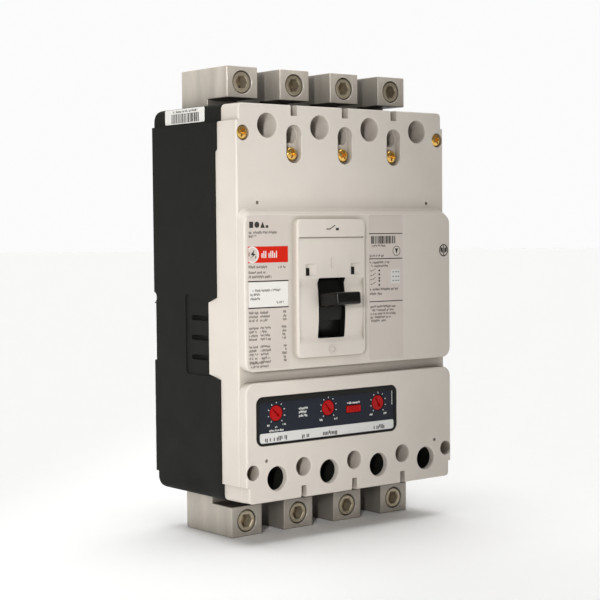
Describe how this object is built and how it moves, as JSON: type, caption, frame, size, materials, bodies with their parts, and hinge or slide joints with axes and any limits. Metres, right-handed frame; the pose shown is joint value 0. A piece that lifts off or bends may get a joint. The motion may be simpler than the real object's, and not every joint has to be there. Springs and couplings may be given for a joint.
{
  "type": "molded case breaker",
  "caption": "Four-pole molded case circuit breaker with a toggle handle, an adjustable trip unit window and screw clamp lugs at both ends.",
  "frame": {"origin": "centre of the rear mounting face of the base", "axes": "+X across the poles, -Y towards the front, +Z towards the line end"},
  "size_m": [0.1834, 0.1254, 0.3106],
  "materials": {
    "base_plastic": "dark grey moulded thermoset, fine grain",
    "cover_plastic": "warm beige moulded thermoset, fine grain",
    "brass_screw": "yellow passivated screw",
    "copper": "plain copper bar",
    "fibre": "vulcanised fibre",
    "lug_metal": "tin plated aluminium, satin",
    "black_plastic": "black moulded plastic",
    "faceplate_plastic": "slate grey printed plate",
    "steel": "zinc plated steel",
    "red_plastic": "red moulded plastic"
  },
  "bodies": {
    "root": {"base": "base_plastic", "front_cover": "cover_plastic", "cover_screw_1": "brass_screw", "cover_screw_2": "brass_screw", "cover_screw_3": "brass_screw", "cover_screw_4": "brass_screw", "cover_screw_5": "brass_screw", "cover_screw_6": "brass_screw", "cover_screw_7": "brass_screw", "line_terminal_1": "copper", "line_terminal_2": "copper", "line_terminal_3": "copper", "line_terminal_4": "copper", "load_conductor_1": "copper", "load_conductor_2": "copper", "load_conductor_3": "copper", "load_conductor_4": "copper", "arc_chute_1": "fibre", "arc_chute_2": "fibre", "arc_chute_3": "fibre", "arc_chute_4": "fibre", "line_lug_1": "lug_metal", "line_lug_2": "lug_metal", "line_lug_3": "lug_metal", "line_lug_4": "lug_metal", "load_lug_1": "lug_metal", "load_lug_2": "lug_metal", "load_lug_3": "lug_metal", "load_lug_4": "lug_metal", "trip_unit_housing": "black_plastic", "trip_unit_faceplate": "faceplate_plastic", "mechanism_frame": "steel"},
    "handle": {"toggle_handle": "black_plastic", "handle_yoke": "steel", "main_spring_1": "steel", "main_spring_2": "steel"},
    "barrier": {"handle_barrier": "black_plastic"},
    "contact_bar": {"crossbar": "black_plastic", "moving_contact_1": "copper", "moving_contact_2": "copper", "moving_contact_3": "copper", "moving_contact_4": "copper"},
    "cradle": {"cradle": "steel"},
    "upper_link": {"upper_link": "steel"},
    "lower_link": {"lower_link": "steel"},
    "trip_dial_1": {"trip_dial_1": "red_plastic"},
    "trip_dial_2": {"trip_dial_2": "red_plastic"},
    "trip_dial_3": {"trip_dial_3": "red_plastic"},
    "trip_button": {"trip_button": "red_plastic"},
    "trip_bar": {"trip_bar": "steel"},
    "line_clamp_screw_1": {"line_clamp_screw_1": "lug_metal"},
    "line_clamp_screw_2": {"line_clamp_screw_2": "lug_metal"},
    "line_clamp_screw_3": {"line_clamp_screw_3": "lug_metal"},
    "line_clamp_screw_4": {"line_clamp_screw_4": "lug_metal"},
    "load_clamp_screw_1": {"load_clamp_screw_1": "lug_metal"},
    "load_clamp_screw_2": {"load_clamp_screw_2": "lug_metal"},
    "load_clamp_screw_3": {"load_clamp_screw_3": "lug_metal"},
    "load_clamp_screw_4": {"load_clamp_screw_4": "lug_metal"}
  },
  "joints": [
    {"name": "handle_toggle", "type": "hinge", "parent": "root", "child": "handle", "pos_m": [-0.02185, -0.05, -0.0044], "axis": [-1, 0, 0], "range_deg": [-19, 8.4]},
    {"name": "barrier_turn", "type": "hinge", "parent": "root", "child": "barrier", "pos_m": [-0.02185, -0.05, -0.0044], "axis": [-1, 0, 0], "range_deg": [-13.4, 6]},
    {"name": "contact_bar_turn", "type": "hinge", "parent": "root", "child": "contact_bar", "pos_m": [0, -0.024, -0.018], "axis": [-1, 0, 0], "range_deg": [-16.7, 7.4]},
    {"name": "cradle_release", "type": "hinge", "parent": "root", "child": "cradle", "pos_m": [-0.02185, -0.062, 0.024], "axis": [1, 0, 0], "range_deg": [0, 3.1]},
    {"name": "upper_link_turn", "type": "hinge", "parent": "cradle", "child": "upper_link", "pos_m": [-0.02185, -0.07, 0], "axis": [-1, 0, 0], "range_deg": [-8.6, 3.8]},
    {"name": "lower_link_turn", "type": "hinge", "parent": "contact_bar", "child": "lower_link", "pos_m": [-0.02185, -0.03424, -0.00117], "axis": [1, 0, 0], "range_deg": [-37.7, 16.7]},
    {"name": "trip_bar_turn", "type": "hinge", "parent": "root", "child": "trip_bar", "pos_m": [0, -0.058, -0.046], "axis": [1, 0, 0], "range_deg": [0, 5.04], "stiffness_Nm_per_rad": 0.4, "springref_deg": -2.86},
    {"name": "trip_button_push", "type": "slide", "parent": "root", "child": "trip_button", "axis": [0, 1, 0], "range_m": [0, 0.00255]},
    {"name": "trip_dial_1_turn", "type": "hinge", "parent": "root", "child": "trip_dial_1", "pos_m": [-0.0655, -0.1024, -0.071], "axis": [0, -1, 0], "range_deg": [-120, 120]},
    {"name": "trip_dial_2_turn", "type": "hinge", "parent": "root", "child": "trip_dial_2", "pos_m": [-0.0219, -0.1024, -0.071], "axis": [0, -1, 0], "range_deg": [-120, 120]},
    {"name": "trip_dial_3_turn", "type": "hinge", "parent": "root", "child": "trip_dial_3", "pos_m": [0.022, -0.1024, -0.071], "axis": [0, -1, 0], "range_deg": [-120, 120]},
    {"name": "line_clamp_screw_1_travel", "type": "slide", "parent": "root", "child": "line_clamp_screw_1", "axis": [0, 1, 0], "range_m": [0, 0.0085]},
    {"name": "line_clamp_screw_2_travel", "type": "slide", "parent": "root", "child": "line_clamp_screw_2", "axis": [0, 1, 0], "range_m": [0, 0.0085]},
    {"name": "line_clamp_screw_3_travel", "type": "slide", "parent": "root", "child": "line_clamp_screw_3", "axis": [0, 1, 0], "range_m": [0, 0.0085]},
    {"name": "line_clamp_screw_4_travel", "type": "slide", "parent": "root", "child": "line_clamp_screw_4", "axis": [0, 1, 0], "range_m": [0, 0.0085]},
    {"name": "load_clamp_screw_1_travel", "type": "slide", "parent": "root", "child": "load_clamp_screw_1", "axis": [0, 1, 0], "range_m": [0, 0.0085]},
    {"name": "load_clamp_screw_2_travel", "type": "slide", "parent": "root", "child": "load_clamp_screw_2", "axis": [0, 1, 0], "range_m": [0, 0.0085]},
    {"name": "load_clamp_screw_3_travel", "type": "slide", "parent": "root", "child": "load_clamp_screw_3", "axis": [0, 1, 0], "range_m": [0, 0.0085]},
    {"name": "load_clamp_screw_4_travel", "type": "slide", "parent": "root", "child": "load_clamp_screw_4", "axis": [0, 1, 0], "range_m": [0, 0.0085]}
  ],
  "couplings": [
    {"joint": "barrier_turn", "follows": "handle_toggle", "ratio": 0.7},
    {"joint": "contact_bar_turn", "follows": "handle_toggle", "ratio": 0.875},
    {"joint": "upper_link_turn", "follows": "handle_toggle", "ratio": 0.45},
    {"joint": "lower_link_turn", "follows": "handle_toggle", "ratio": 1.98},
    {"joint": "trip_button_push", "follows": "trip_bar_turn", "m_per_rad": 0.0284},
    {"joint": "cradle_release", "follows": "trip_bar_turn", "ratio": 0.594}
  ]
}
